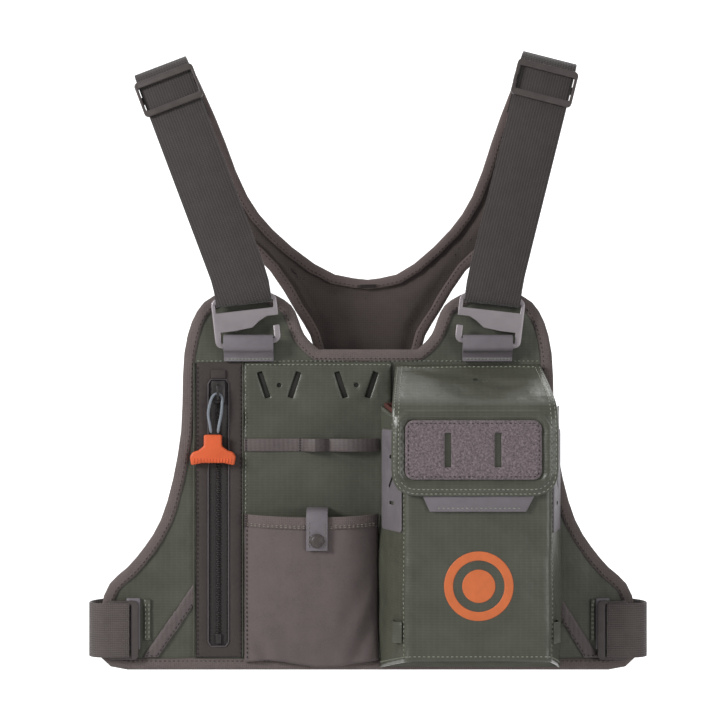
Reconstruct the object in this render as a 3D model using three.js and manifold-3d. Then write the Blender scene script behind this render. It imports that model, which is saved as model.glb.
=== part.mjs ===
// Fishing vest: a chest pack hung by two G-hooks from a webbing harness with a mesh yoke.
// Millimetres. X runs across the chest, -Y is the front, +Z is up. The pieces are laid out with Z = 0 at the
// pack's lower edge and Y = 0 at the front of its shell; the group is then moved so its origin is the nape.
import * as THREE from "three";
import { ConvexGeometry } from "three/addons/geometries/ConvexGeometry.js";
import { mergeVertices } from "three/addons/utils/BufferGeometryUtils.js";
import Module from "manifold-3d";

const wasm = await Module();
wasm.setup();

// Driving dimensions
const GAP = 0.3; // clearance between pieces that touch
const WEBBING = 38; // width of the shoulder webbing
const PLY = 1.2; // thickness of one ply of webbing
const SHELL_BACK = 1.6; // the shell is 0 to this
const PAD = { front: 4, rim: 13, rear: 16.5 }; // back pad: bound rim, then the proud cushion
const BINDING = { width: 8, wall: 2.5, front: -1, rear: 14 };
const PANEL = { front: -1.6, back: -GAP }; // fabric panels sewn on the shell
const SEAM = 211.6; // height of the seam across the top of the panels
const POCKET = { left: 8.6, right: 131.2, frontLeft: 25, frontRight: 121, back: -1.9, front: -50 };
const LID_FRONT = -54.3; // outer face of the lid's front panel
const HOOK = { x: 83.3, y: -8, z: 240, width: 45, height: 34.4, thick: 2.5, tilt: 6.5, barHeight: 15 };
const STRAP_LEAN = { left: 20.9, right: 14.3 }; // degrees outward, above the curve over the hook
const SLIDER_AT = 153; // distance up the strap from the hook's bar
const YOKE = { front: 40, back: 46, bindingFront: 39, bindingBack: 47, width: 7, spread: 0.07 };
const NAPE = { y: 43, z: 270 }; // the middle of the neckline
const ZIP_X = -102.5; // centre line of the zipper
const WAIST = { low: 10, high: 47 }; // the waist webbing's edges

const rad = THREE.MathUtils.degToRad;
const v2 = (pairs) => pairs.map(([x, y]) => new THREE.Vector2(x, y));

// ---- Materials ----
function finish(color, roughness, metalness = 0) {
  return new THREE.MeshStandardMaterial({ color, roughness, metalness });
}
const GREEN = finish("#565c50", 0.9);
const TAUPE = finish("#645856", 0.92);
const ZIP_TAUPE = finish("#554a48", 0.9);
const BINDING_TAPE = finish("#78696a", 0.88);
const MESH_PAD = finish("#3f3937", 0.95);
const DARK_WEBBING = finish("#3e3836", 0.85);
const HYPALON = finish("#736e74", 0.6);
const HOOK_METAL = finish("#a0989c", 0.4, 0.8);
const ZIP_METAL = finish("#6a6668", 0.45, 0.7);
const PLASTIC = finish("#4a4648", 0.55);
const GRIP_ORANGE = finish("#eb5f2d", 0.5);
const CORD_GREY = finish("#a5b2b9", 0.7);
const PATCH = finish("#73676c", 0.98);
const COLLAR = finish("#4a2a26", 0.9);

// ---- Tree ----
const vest = new THREE.Group();
function piece(name, geometry, material, parent = vest) {
  const mesh = new THREE.Mesh(geometry, material);
  mesh.name = name;
  parent.add(mesh);
  return mesh;
}
const SIDES = [["left", -1], ["right", 1]];

// ---- Shapes ----
function extrude(outline, depth) {
  return new THREE.ExtrudeGeometry(new THREE.Shape(outline), { depth, bevelEnabled: false });
}
// A flat plate: the outline is in X and Z, and the plate runs from front to back in Y.
function plate(outline, front, back, holes = []) {
  const body = extrude(outline, back - front).rotateX(Math.PI / 2).translate(0, back, 0);
  return holes.length ? cut(body, ...holes.map((hole) => plate(hole, front - 1, back + 1))) : body;
}
// A section in Y and Z, run across from x0 to x1.
function across(outline, x0, x1, holes = []) {
  const turn = new THREE.Matrix4().makeBasis(
    new THREE.Vector3(0, 1, 0), new THREE.Vector3(0, 0, 1), new THREE.Vector3(1, 0, 0));
  const body = extrude(outline, x1 - x0).applyMatrix4(turn).translate(x0, 0, 0);
  return holes.length ? cut(body, ...holes.map((hole) => across(hole, x0 - 1, x1 + 1))) : body;
}
// A section in X and Y, run up from z0 to z1.
function upright(outline, z0, z1) {
  return extrude(outline, z1 - z0).translate(0, 0, z0);
}
function box(x0, x1, y0, y1, z0, z1) {
  return new THREE.BoxGeometry(x1 - x0, y1 - y0, z1 - z0)
    .translate((x0 + x1) / 2, (y0 + y1) / 2, (z0 + z1) / 2);
}
// A disc facing the front.
function disc(x, z, radius, front, back, sides = 20) {
  return new THREE.CylinderGeometry(radius, radius, back - front, sides)
    .translate(x, (front + back) / 2, z);
}
function rounded(x0, z0, x1, z1, r, divisions = 4) {
  const path = new THREE.Path();
  path.moveTo(x0 + r, z0);
  path.lineTo(x1 - r, z0).absarc(x1 - r, z0 + r, r, -Math.PI / 2, 0);
  path.lineTo(x1, z1 - r).absarc(x1 - r, z1 - r, r, 0, Math.PI / 2);
  path.lineTo(x0 + r, z1).absarc(x0 + r, z1 - r, r, Math.PI / 2, Math.PI);
  path.lineTo(x0, z0 + r).absarc(x0 + r, z0 + r, r, Math.PI, 1.5 * Math.PI);
  return tidy(path.getPoints(divisions));
}
// Drops points that repeat the one before.
function tidy(points) {
  return points.filter((point, i) => point.distanceTo(points.at(i - 1)) > 0.05);
}
// Moves each point of a line along its normal; a closed line is moved all round.
function offset(points, distance, closed = false) {
  const last = points.length - 1;
  return points.map((point, i) => {
    const before = i > 0 || closed ? points.at(i - 1) : point;
    const after = i < last || closed ? points[(i + 1) % points.length] : point;
    const arriving = (before === point ? after.clone().sub(point) : point.clone().sub(before)).normalize();
    const leaving = (after === point ? arriving.clone() : after.clone().sub(point)).normalize();
    const normal = new THREE.Vector2(-arriving.y - leaving.y, arriving.x + leaving.x).normalize();
    const miter = Math.max(0.5, normal.dot(new THREE.Vector2(-arriving.y, arriving.x)));
    return point.clone().addScaledVector(normal, distance / miter);
  });
}
function inset(outline, distance) {
  return offset(outline, THREE.ShapeUtils.isClockWise(outline) ? -distance : distance, true);
}
// The outline of a strip of cloth seen edge on.
function strip(line, thickness) {
  return [...offset(line, thickness / 2), ...offset(line, -thickness / 2).reverse()];
}
function curved(pairs, divisions = 3) {
  const curve = new THREE.SplineCurve(v2(pairs));
  return curve.getPoints(divisions * (pairs.length - 1));
}
function hull(corners) {
  return new ConvexGeometry(corners.map((corner) => new THREE.Vector3(...corner)));
}

// ---- Cutting and joining ----
function toSolid(geometry) {
  const bare = geometry.clone();
  bare.deleteAttribute("normal");
  bare.deleteAttribute("uv");
  const merged = mergeVertices(bare, 1e-4);
  return new wasm.Manifold(new wasm.Mesh({
    numProp: 3,
    vertProperties: merged.attributes.position.array,
    triVerts: Uint32Array.from(merged.index.array),
  }));
}
function toGeometry(solid) {
  const mesh = solid.getMesh();
  const geometry = new THREE.BufferGeometry();
  geometry.setAttribute("position", new THREE.BufferAttribute(mesh.vertProperties, 3));
  geometry.setIndex(new THREE.BufferAttribute(mesh.triVerts, 1));
  return geometry;
}
function join(...parts) {
  return toGeometry(parts.map(toSolid).reduce((all, part) => all.add(part)));
}
function cut(body, ...tools) {
  return toGeometry(tools.map(toSolid).reduce((rest, tool) => rest.subtract(tool), toSolid(body)));
}
function common(a, b) {
  return toGeometry(toSolid(a).intersect(toSolid(b)));
}

// A flat band swept along stations, each with a centre and a unit vector across its width.
function band(stations, width, thickness) {
  const positions = [];
  const index = [];
  stations.forEach(({ at, side }, i) => {
    const ahead = (stations[i + 1] ?? stations[i]).at.clone().sub((stations[i - 1] ?? stations[i]).at);
    const normal = ahead.cross(side).normalize();
    for (const [w, n] of [[-1, -1], [1, -1], [1, 1], [-1, 1]]) {
      const corner = at.clone().addScaledVector(side, (w * width) / 2)
        .addScaledVector(normal, (n * thickness) / 2);
      positions.push(...corner);
    }
  });
  const rows = stations.length - 1;
  for (let i = 0; i < rows; i += 1) {
    for (let k = 0; k < 4; k += 1) {
      const [a, b] = [4 * i + k, 4 * i + ((k + 1) % 4)];
      index.push(a, a + 4, b, b, a + 4, b + 4);
    }
  }
  index.push(0, 1, 2, 0, 2, 3, 4 * rows, 4 * rows + 2, 4 * rows + 1, 4 * rows, 4 * rows + 3, 4 * rows + 2);
  return outward(positions, index);
}
// A sheet of cloth over a grid: place(u, v) gives its middle, and it is given thickness along Y.
function sheet(place, across, up, thickness) {
  const positions = [];
  const index = [];
  const face = (across + 1) * (up + 1);
  for (const shift of [-thickness / 2, thickness / 2]) {
    for (let j = 0; j <= up; j += 1) {
      for (let i = 0; i <= across; i += 1) {
        const [x, y, z] = place(i / across, j / up);
        positions.push(x, y + shift, z);
      }
    }
  }
  const quad = (a, b, c, d) => index.push(a, b, c, a, c, d);
  const at = (i, j) => j * (across + 1) + i;
  for (let j = 0; j < up; j += 1) {
    for (let i = 0; i < across; i += 1) {
      quad(at(i, j), at(i + 1, j), at(i + 1, j + 1), at(i, j + 1));
      quad(face + at(i, j), face + at(i, j + 1), face + at(i + 1, j + 1), face + at(i + 1, j));
    }
  }
  const rim = [];
  for (let i = 0; i < across; i += 1) rim.push(at(i, 0));
  for (let j = 0; j < up; j += 1) rim.push(at(across, j));
  for (let i = across; i > 0; i -= 1) rim.push(at(i, up));
  for (let j = up; j > 0; j -= 1) rim.push(at(0, j));
  rim.forEach((a, n) => {
    const b = rim[(n + 1) % rim.length];
    quad(b, a, face + a, face + b);
  });
  return outward(positions, index);
}
// Builds the geometry and turns its faces out if they point in.
function outward(positions, index) {
  let volume = 0;
  const [a, b, c] = [new THREE.Vector3(), new THREE.Vector3(), new THREE.Vector3()];
  for (let i = 0; i < index.length; i += 3) {
    a.fromArray(positions, 3 * index[i]);
    b.fromArray(positions, 3 * index[i + 1]);
    c.fromArray(positions, 3 * index[i + 2]);
    volume += a.dot(b.cross(c));
  }
  const geometry = new THREE.BufferGeometry();
  geometry.setAttribute("position", new THREE.Float32BufferAttribute(positions, 3));
  geometry.setIndex(volume < 0 ? index.slice().reverse() : index);
  return geometry;
}

// ---- Front pack: shell, pad and binding ----
function packOutline() {
  const half = new THREE.Path();
  half.moveTo(0, 220.5);
  half.lineTo(34, 220.5);
  half.splineThru(v2([[44, 231], [53, 251], [72, 262]]));
  half.lineTo(95, 262);
  half.splineThru(v2([
    [115, 250.5], [126, 220], [129, 160], [141, 107], [160.5, 76], [180, 55.5], [186, 20],
  ]));
  half.quadraticCurveTo(186, 0.5, 165, 0.5);
  half.lineTo(0, 0.5);
  const right = tidy(half.getPoints(3));
  const left = right.slice(1, -1).reverse().map((point) => new THREE.Vector2(-point.x, point.y));
  return [...right, ...left];
}
const outline = packOutline();
const bound = inset(outline, BINDING.wall + GAP);
piece("front_shell", plate(bound, 0, SHELL_BACK), GREEN);
piece("inner_divider", plate(inset(outline, 12), 2.1, 3.4), TAUPE);
piece("back_pad", join(
  plate(bound, PAD.front, PAD.rim),
  plate(inset(outline, BINDING.width + 2), PAD.rim - 1, PAD.rear)), MESH_PAD);
piece("edge_binding", cut(
  plate(outline, BINDING.front, BINDING.rear),
  plate(inset(outline, BINDING.width), BINDING.front - 1, BINDING.rear + 1),
  plate(inset(outline, BINDING.wall), -GAP, PAD.rim + GAP)), BINDING_TAPE);

// ---- Zip panel ----
const WINDOW = v2([[-5, 17], [5, 17], [7, 20], [7, 197], [5, 200], [-5, 200], [-7, 197], [-7, 20]])
  .map((point) => point.add(new THREE.Vector2(ZIP_X, 0)));
const COIL = { half: 2, front: -2.6, low: 26, high: 199 };
piece("zip_panel", plate(v2([[-118, 9.5], [-86, 9.5], [-86, SEAM], [-118, SEAM]]),
  PANEL.front, PANEL.back, [WINDOW]), ZIP_TAUPE);
piece("zipper_tape", join(
  plate(inset(WINDOW, GAP), -1.1, -GAP),
  box(ZIP_X - COIL.half, ZIP_X + COIL.half, COIL.front, -0.9, COIL.low, COIL.high)), PLASTIC);
piece("zip_garage", box(ZIP_X - 5, ZIP_X + 5, -3.2, -1.9, 200.5, 206.5), HYPALON);
piece("zip_bottom_stop", box(ZIP_X - COIL.half, ZIP_X + COIL.half, -3, -1.4, 19, COIL.low - GAP), ZIP_METAL);

// The slider straddles the coil; its staple holds the pull cord.
const SLIDER_Z = { low: 184, high: 199 };
const staple = strip(v2([
  [-3.6, 196.5], [-7.6, 195.5], [-8.2, 193.5], [-8.2, 188.5], [-7.6, 186.5], [-3.6, 185.5],
]), 1.1);
piece("zip_slider", join(
  box(ZIP_X - 4.5, ZIP_X + 4.5, -4.4, COIL.front - GAP, SLIDER_Z.low, SLIDER_Z.high),
  box(ZIP_X - 4.5, ZIP_X - COIL.half - GAP, -4, -1.4, SLIDER_Z.low, SLIDER_Z.high),
  box(ZIP_X + COIL.half + GAP, ZIP_X + 4.5, -4, -1.4, SLIDER_Z.low, SLIDER_Z.high),
  across(staple, ZIP_X - 0.8, ZIP_X + 0.8)), ZIP_METAL);
const cordPath = new THREE.CatmullRomCurve3([
  [-107.2, 162.6], [-107.9, 168], [-109.2, 176], [-107.6, 185], [-105.4, 189.6], [-102.6, 190.4],
  [-99.9, 188.4], [-99.8, 182], [-100.3, 176], [-102, 168], [-102.6, 162.6],
].map(([x, z]) => new THREE.Vector3(x, -6.1, z)));
const cordSection = new THREE.Shape();
cordSection.absarc(0, 0, 1.1, 0, 2 * Math.PI);
piece("pull_cord_loop", new THREE.ExtrudeGeometry(cordSection,
  { extrudePath: cordPath, steps: 24, curveSegments: 4, bevelEnabled: false }), CORD_GREY);
const GRIP = { x: -106, top: 162.2, wing: 151.4, low: 141.3, neck: 6.1, half: 15.7 };
const gripHalf = [
  [GRIP.neck, GRIP.top], [GRIP.neck, GRIP.wing + 3],
  [GRIP.neck + 4, GRIP.wing], [GRIP.half - 2, GRIP.wing - 1],
  [GRIP.half, GRIP.wing - 4], [GRIP.half - 1, GRIP.low], [7, GRIP.low + 1.6],
];
const gripOutline = v2([...gripHalf, ...gripHalf.slice().reverse().map(([x, z]) => [-x, z])])
  .map((point) => point.add(new THREE.Vector2(GRIP.x, 0)));
piece("pull_grip", plate(gripOutline, -9, -3), GRIP_ORANGE);

// ---- Organizer panel and ribbon ----
const DOCKS = [-61, -8];
const dockHoles = DOCKS.flatMap((x) => [
  ...[-1, 1].map((s) => strip(v2([[x + s * 13.4, 205], [x + s * 7.6, 187.4]]), 3.6)),
  Array.from({ length: 8 }, (_, i) => new THREE.Vector2(
    x + 1.6 * Math.cos((i * Math.PI) / 4), 196 + 1.6 * Math.sin((i * Math.PI) / 4))),
]);
piece("organizer_panel", plate(v2([[-85.3, 9.5], [16, 9.5], [16, SEAM], [-85.3, SEAM]]),
  PANEL.front, PANEL.back, dockHoles), GREEN);
const ribbonLine = curved([
  [-85, -2.6], [-65, -3], [-46, -2.6], [-43, -5], [-36, -9], [-29, -5], [-26.5, -2.6],
  [-23, -5], [-9, -9.5], [4, -5], [7.6, -2.6],
], 2);
piece("daisy_ribbon", upright(strip(ribbonLine, PLY), 150.7, 159.4), TAUPE);

// ---- Open pocket: a slack sheet that stands off the panel ----
const OPEN = { left: -85, right: 7.6, low: 5, high: 107.5, back: -2.6, slack: 15, cloth: 1.4 };
function openPocketAt(u, v, proud = 0) {
  const swell = 1.2 + (OPEN.slack - 1.2) * Math.sin((Math.PI / 2) * Math.min(1, 1.25 * v));
  const stand = swell * Math.sin(Math.PI * u) ** 0.5;
  return [
    THREE.MathUtils.lerp(OPEN.left, OPEN.right, u),
    OPEN.back - stand - proud,
    THREE.MathUtils.lerp(OPEN.low, OPEN.high, v),
  ];
}
piece("open_pocket", sheet((u, v) => openPocketAt(0.004 + 0.992 * u, v), 16, 8, OPEN.cloth), TAUPE);
piece("open_pocket_binding", sheet((u, v) => openPocketAt(0.03 + 0.94 * u, 0.92 + 0.08 * v, 1.4),
  16, 1, 0.7), BINDING_TAPE);

// The snap tab reaches from the panel over the pocket's mouth and snaps on its front.
const SNAP = { x: -34.6, z: 90.8, half: 7.25, front: -20.4, ply: 1.3 };
const tabLine = curved([
  [-3.1, 112], [-12, 111.4], [-18, 110.2], [SNAP.front, 106.5], [SNAP.front, 98], [SNAP.front, 84.1],
], 2);
piece("snap_stud", disc(SNAP.x, SNAP.z, 4, -19.5, -18.7), PLASTIC);
piece("snap_tab", across(strip(tabLine, SNAP.ply), SNAP.x - SNAP.half, SNAP.x + SNAP.half), HYPALON);
piece("snap_cap", disc(SNAP.x, SNAP.z, 4.9, SNAP.front - 2.3, SNAP.front - 1), PLASTIC);

// ---- Box pocket ----
const WALL = 1.5;
function pocketBlock(shrink, lowLift, top) {
  const corners = [];
  for (const [x, y, low, high] of [
    [POCKET.left + 1.4 * shrink, POCKET.back - shrink, 2.7, top.back],
    [POCKET.right - 1.4 * shrink, POCKET.back - shrink, 2.7, top.back],
    [POCKET.frontLeft + 0.7 * shrink, POCKET.front + shrink, 13.7, top.front],
    [POCKET.frontRight - 0.7 * shrink, POCKET.front + shrink, 13.7, top.front],
  ]) {
    corners.push([x, y, low + lowLift], [x, y, high]);
  }
  return hull(corners);
}
const RIM = { back: 182, front: 170 };
const above = { back: 240, front: 228 };
piece("box_pocket", cut(pocketBlock(0, 0, RIM), pocketBlock(WALL, WALL, above)), GREEN);
piece("pocket_collar", cut(
  pocketBlock(WALL + GAP, 148, { back: RIM.back + 2, front: RIM.front + 2 }),
  pocketBlock(WALL + GAP + 1.2, 140, above)), COLLAR);
for (const [name, side] of SIDES) {
  const base = side < 0 ? POCKET.left : POCKET.right;
  const edge = side < 0 ? POCKET.frontLeft : POCKET.frontRight;
  const wall = new THREE.Group();
  wall.position.set(base, POCKET.back, 0);
  wall.rotation.z = Math.atan2(POCKET.front - POCKET.back, edge - base);
  vest.add(wall);
  // In this group X runs out along the wall, and the outer face is towards side * Y.
  const face = (outlineXZ, from, to, holes) => (side < 0
    ? plate(outlineXZ, -to, -from, holes)
    : plate(outlineXZ, from, to, holes));
  const slots = [
    strip(v2([[20, 127], [31, 138]]), 3),
    ...[117, 148].map((z) => strip(v2([[21, z], [30, z]]), 2.4)),
  ];
  piece(`pocket_side_panel_${name}`,
    face(rounded(6, 98.4, 45, 166.2, 3, 2), 0.4, 1.4, slots), HYPALON, wall);
  const loop = strip(v2([[29, side * 1.1], [37.5, side * 4.6], [46, side * 1.1]]), PLY);
  piece(`pocket_side_loop_${name}`, upright(loop, 25, 39), GREEN, wall);
}

// ---- Lid of the box pocket ----
const LID_PLY = 1.3;
const lidLine = v2([
  [-3.2, 209.6], [-28, 197.5], [-46, 187.5], [-50.5, 184], [-53, 180],
  [LID_FRONT + LID_PLY / 2, 175.5], [LID_FRONT + LID_PLY / 2, 123.2],
]);
const lidShape = new THREE.Path();
lidShape.moveTo(19.8, 220);
lidShape.lineTo(15.4, 178);
lidShape.lineTo(15.2, 141);
lidShape.quadraticCurveTo(15.2, 123.2, 33, 123.2);
lidShape.lineTo(107.6, 123.2);
lidShape.quadraticCurveTo(125.6, 123.2, 125.6, 141);
lidShape.lineTo(125.4, 178);
lidShape.lineTo(118, 220);
piece("pocket_lid", common(
  across(strip(lidLine, LID_PLY), 14, 130),
  plate(tidy(lidShape.getPoints(5)), LID_FRONT - 2, 0)), GREEN);
const PATCH_FRONT = LID_FRONT - 1.6;
piece("fly_patch", plate(rounded(24.2, 134.2, 114.5, 173.5, 6), PATCH_FRONT, LID_FRONT - GAP,
  [52.5, 85.6].map((x) => strip(v2([[x, 142.5], [x, 165]]), 4.2))), PATCH);
piece("lid_pull_tab", plate(v2([
  [40.6, 112.9], [104.3, 112.9], [109.8, 123.5], [109.8, 127.5], [35.8, 127.5], [35.8, 123.5],
]), -52.6, -51.5), HYPALON);
piece("closure_hook_tape", plate(rounded(46, 131, 101, 149, 3, 2), -52.6, -51.6), PLASTIC);
piece("closure_loop_tape", plate(rounded(44, 129, 103, 151, 3, 2), -51.2, POCKET.front - GAP), PLASTIC);

// ---- Ribbons, tabs and strips on the sides of the pack ----
const DIAGONALS = {
  left: [[-118.8, 46], [-118.8, 61], [-154.5, 9.2], [-144, 9.2]],
  right: [[132, 36], [132, 51], [158.5, 9.2], [148, 9.2]],
};
for (const [name, side] of SIDES) {
  piece(`diagonal_ribbon_${name}`, plate(v2(DIAGONALS[name]), PANEL.front, PANEL.back), TAUPE);
  const between = (x0, x1, z0, z1) => v2(
    [[side * x0, z0], [side * x1, z0], [side * x1, z1], [side * x0, z1]]);
  const anchor = side < 0 ? between(149, 153.6, 21, 49) : between(152.4, 155.6, 21, 49);
  piece(`side_anchor_strip_${name}`, plate(anchor, PANEL.front, PANEL.back), GREEN);
  piece(`side_tab_${name}`, plate(between(156.2, 165.5, 15, 50), -2.3, -0.4), HYPALON);

  // The hypalon loop is folded round the G-hook's lower bar.
  const x = side * (HOOK.x - HOOK.barHeight * Math.sin(rad(HOOK.tilt)));
  const fold = new THREE.Path();
  fold.moveTo(-2, SEAM + 0.7);
  fold.lineTo(-2, 218);
  fold.absarc(HOOK.y, 226.8, 3.7, 0, Math.PI);
  fold.absarc(HOOK.y, 222.4, 3.7, Math.PI, 1.5 * Math.PI);
  fold.lineTo(-4.5, 215);
  fold.lineTo(-4.5, SEAM + 0.7);
  const eye = new THREE.Path();
  eye.absarc(HOOK.y, 226.8, 2.4, 0, Math.PI);
  eye.absarc(HOOK.y, 222.4, 2.4, Math.PI, 2 * Math.PI);
  piece(`hook_loop_${name}`,
    across(tidy(fold.getPoints(5)), x - 17, x + 17, [tidy(eye.getPoints(5))]), HYPALON);
}

// ---- G-hooks ----
// In its own group a hook is upright and centred, with its open mouth on the inner side.
function hookPlate(side) {
  const bar = 4.4;
  const [w, h] = [HOOK.width / 2, HOOK.height / 2];
  const mirror = (pairs) => v2(pairs.map(([x, z]) => [-side * x, z]));
  const strapSlot = mirror([[-19.8, 12.8], [19.8, 12.8], [19.8, 7.2], [-19.8, 7.2]]);
  // The mouth runs from the lower slot up and out past the fingertip.
  const mouth = mirror([
    [-w + bar, -h + 3.6], [w - 4.5, -h + 3.6], [w - 4.5, -5], [w + 3, -5], [w + 3, 1.5], [w - 8, 1.5],
    [w - 13, -1], [4, -5.2], [-8, -6.4], [-w + bar, -6.4],
  ]);
  return cut(plate(rounded(-w, -h, w, h, 5, 3), -HOOK.thick / 2, HOOK.thick / 2),
    plate(strapSlot, -HOOK.thick, HOOK.thick), plate(mouth, -HOOK.thick, HOOK.thick));
}
for (const [name, side] of SIDES) {
  const frame = new THREE.Group();
  frame.position.set(side * HOOK.x, HOOK.y, HOOK.z);
  frame.rotation.y = side * rad(HOOK.tilt);
  vest.add(frame);
  piece(`g_hook_${name}`, hookPlate(side), HOOK_METAL, frame);
}

// ---- Shoulder webbing ----
// The strap's line in the plane of the chest: it starts square to the hook's bar and leans out further up.
function strapLine(side, name) {
  const [start, end] = [rad(HOOK.tilt), rad(STRAP_LEAN[name])];
  const line = [];
  let x = side * (HOOK.x + HOOK.barHeight * Math.sin(start));
  let z = HOOK.z + HOOK.barHeight * Math.cos(start);
  const bendOver = 20;
  for (let s = 0; s <= 190; s += 1) {
    const lean = side * THREE.MathUtils.lerp(start, end, Math.min(1, s / bendOver));
    line.push({ x, z, lean });
    x += Math.sin(lean);
    z += Math.cos(lean);
  }
  return line;
}
const RISE = 13 / 150; // the strap comes back this much for each mm up
const FOLD = 3.4; // radius of the strap's fold round the hook's bar
const onLine = (s) => HOOK.y + s * RISE;
// Distance up the strap and Y: the short ply behind the bar, the fold, and the long ply over the shoulder.
function strapProfile() {
  const turn = Array.from({ length: 7 }, (_, i) => (i * Math.PI) / 6);
  return [
    [30, onLine(30) + 1.1], [20, onLine(20) + 1.4], [9, HOOK.y + FOLD],
    ...turn.map((t) => [-FOLD * Math.sin(t), HOOK.y + FOLD * Math.cos(t)]),
    [9, HOOK.y - 2.8], [20, onLine(20) - 0.8], [30, onLine(30) - 0.5], [44, onLine(44)],
    [60, onLine(60)], [164, onLine(164)], [169, 8.5], [172.2, 12.5], [173, 18], [172.6, 26], [170, 32.5],
    [163, 36.6], [153, 37.5], [132, 37.6],
  ];
}
for (const [name, side] of SIDES) {
  const line = strapLine(side, name);
  const pointAt = (s) => {
    const { x, z, lean } = line[Math.max(0, Math.round(s))];
    const beyond = Math.min(0, s);
    return { x: x + beyond * Math.sin(lean), z: z + beyond * Math.cos(lean), lean };
  };
  const stations = strapProfile().map(([s, y]) => {
    const { x, z, lean } = pointAt(s);
    return { at: new THREE.Vector3(x, y, z), side: new THREE.Vector3(Math.cos(lean), 0, -Math.sin(lean)) };
  });
  piece(`shoulder_webbing_${name}`, band(stations, WEBBING, PLY), DARK_WEBBING);

  // The slider: a frame in front of the strap, a bar behind it, and arms round its edges.
  const { x, z, lean } = pointAt(SLIDER_AT);
  const frame = new THREE.Group();
  frame.position.set(x, HOOK.y + SLIDER_AT * RISE, z);
  frame.rotation.order = "YXZ";
  frame.rotation.set(-Math.atan(RISE), lean, 0);
  vest.add(frame);
  const half = WEBBING / 2;
  const arm = (s) => {
    const [near, far] = [s * (half + 0.4), s * (half + 2.4)];
    return box(Math.min(near, far), Math.max(near, far), -3.2, 3, -2.6, 2.6);
  };
  piece(`strap_slider_${name}`, join(
    plate(rounded(-half - 2.4, -12.7, half + 2.4, 12.7, 3, 3), -3.4, -0.95,
      [rounded(-half - 0.4, -8.2, half + 0.4, 8.2, 1, 2)]),
    arm(-1), arm(1),
    box(-half - 1, half + 1, 0.95, 3, -2.6, 2.6)), PLASTIC, frame);
}

// ---- Yoke ----
function yokeOutline() {
  const halfYoke = (side) => {
    const spread = 1 - side * YOKE.spread;
    const path = new THREE.Path();
    path.moveTo(0, NAPE.z);
    path.splineThru(v2([
      [27, 276], [60.5, 303], [81, 332], [98, 378], [113, 414],
    ].map(([x, z]) => [x * spread, z])));
    path.lineTo(148 * spread, 405);
    path.splineThru(v2([
      [137 * spread, 372], [119 * spread, 332], [94, 300], [69, 276],
      [49.5, 245], [38.5, 224], [28, 170], [22, 104],
    ]));
    path.quadraticCurveTo(21, 92, 10, 92);
    return tidy(path.getPoints(2)).map((point) => new THREE.Vector2(side * point.x, point.y));
  };
  return [...halfYoke(1), ...halfYoke(-1).slice(1).reverse()];
}
const yoke = yokeOutline();
piece("yoke_pad", plate(inset(yoke, BINDING.wall + GAP), YOKE.front, YOKE.back), MESH_PAD);
piece("yoke_binding", cut(
  plate(yoke, YOKE.bindingFront, YOKE.bindingBack),
  plate(inset(yoke, YOKE.width), YOKE.bindingFront - 1, YOKE.bindingBack + 1),
  plate(inset(yoke, BINDING.wall), YOKE.front - GAP, YOKE.back + GAP)), BINDING_TAPE);
piece("yoke_tail_webbing", box(-WEBBING / 2, WEBBING / 2, 47.3, 47.3 + PLY, 8, 122), DARK_WEBBING);

// The net ring hangs in a webbing loop at the nape.
const RING = { y: 50.8, z: 241, radius: 14, wire: 1.5 };
const tabSection = v2([
  [47.3, 263], [47.3, 244], [47.9, 238], [50.8, 236.2],
  [54.2, 237.8], [54.9, 241], [54.2, 244.8], [50.8, 247],
  [48.6, 250], [48.6, 263],
]);
const tabEye = v2([[49.1, 243], [49.1, 239.2], [50.8, 237.6], [53.2, 239], [53.4, 243], [50.8, 244.8]]);
piece("net_ring_tab", across(tabSection, -4, 4, [tabEye]), TAUPE);
piece("net_ring", new THREE.TorusGeometry(RING.radius, RING.wire, 8, 28).rotateX(Math.PI / 2)
  .translate(0, RING.y, RING.z - RING.radius), HOOK_METAL);

// ---- Waist straps ----
const LOCK = { front: -6.7, back: -4.1 };
for (const [name, side] of SIDES) {
  const line = curved([
    [163, -7.6], [176, -7.7], [184, -6.8], [189.6, -2], [191.3, 5], [189, 15], [180, 25.5], [166, 29],
  ], 2).concat(v2([[24, 46.5]])).map((point) => new THREE.Vector2(side * point.x, point.y));
  piece(`waist_webbing_${name}`, upright(strip(line, PLY), WAIST.low, WAIST.high), DARK_WEBBING);
  const lock = plate(rounded(157, WAIST.low - 1.6, 178, WAIST.high + 1.6, 3, 2), LOCK.front, LOCK.back,
    [[162, 165.5], [169, 173.5]].map(([x0, x1]) => rounded(x0, WAIST.low + 1, x1, WAIST.high - 1, 0.8, 1)));
  if (side < 0) {
    lock.rotateZ(Math.PI).translate(0, LOCK.front + LOCK.back, 0);
  }
  piece(`waist_buckle_${name}`, lock, PLASTIC);
}

vest.position.set(0, -NAPE.y, -NAPE.z);
export default vest;
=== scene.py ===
"""The fishing vest's looks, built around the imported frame: cloth, webbing, stitching, zipper and hardware."""

import math

import bmesh
import bpy
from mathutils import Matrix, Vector, geometry, kdtree, noise


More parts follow.
